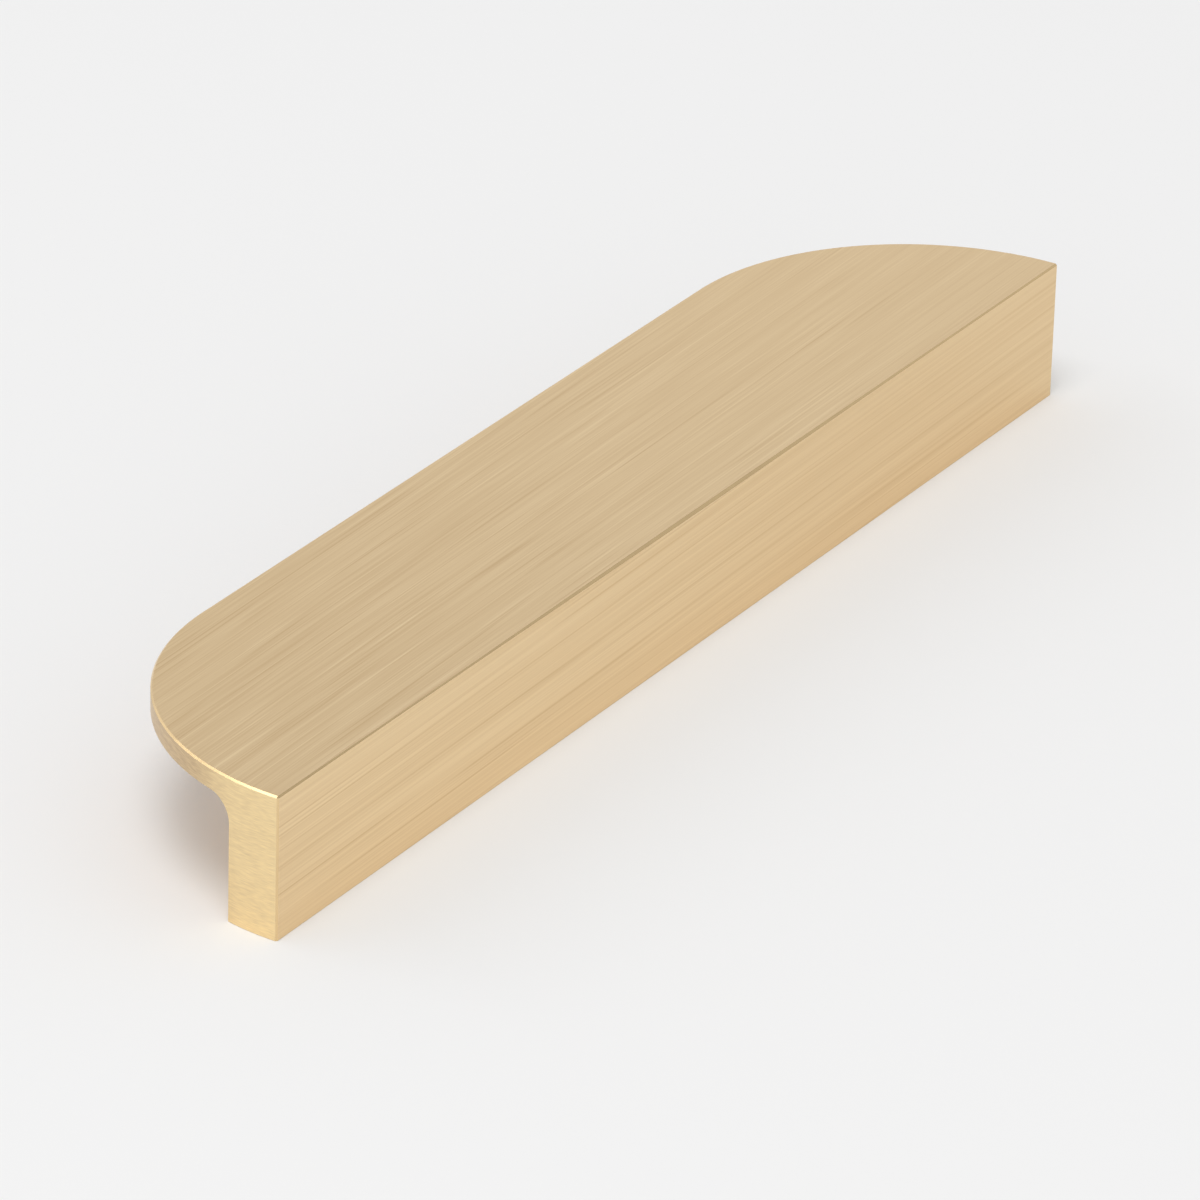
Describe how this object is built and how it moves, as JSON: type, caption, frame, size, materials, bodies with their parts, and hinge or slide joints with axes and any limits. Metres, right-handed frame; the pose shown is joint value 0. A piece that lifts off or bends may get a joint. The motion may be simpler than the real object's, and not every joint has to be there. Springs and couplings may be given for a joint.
{
  "type": "cabinet pull",
  "caption": "Solid brass cabinet pull of L-shaped section: a straight wall screws to the door, and a flat grip plate with quarter-round ends reaches out over the fingers.",
  "frame": {"origin": "on the foot of the wall, the face that meets the door, midway between the two screw holes", "axes": "+X along the pull, +Y from the wall towards the grip edge, +Z away from the door"},
  "size_m": [0.24, 0.045, 0.025],
  "materials": {
    "brass": "satin, brushed along the length"
  },
  "bodies": {
    "root": {"pull": "brass"}
  },
  "joints": []
}
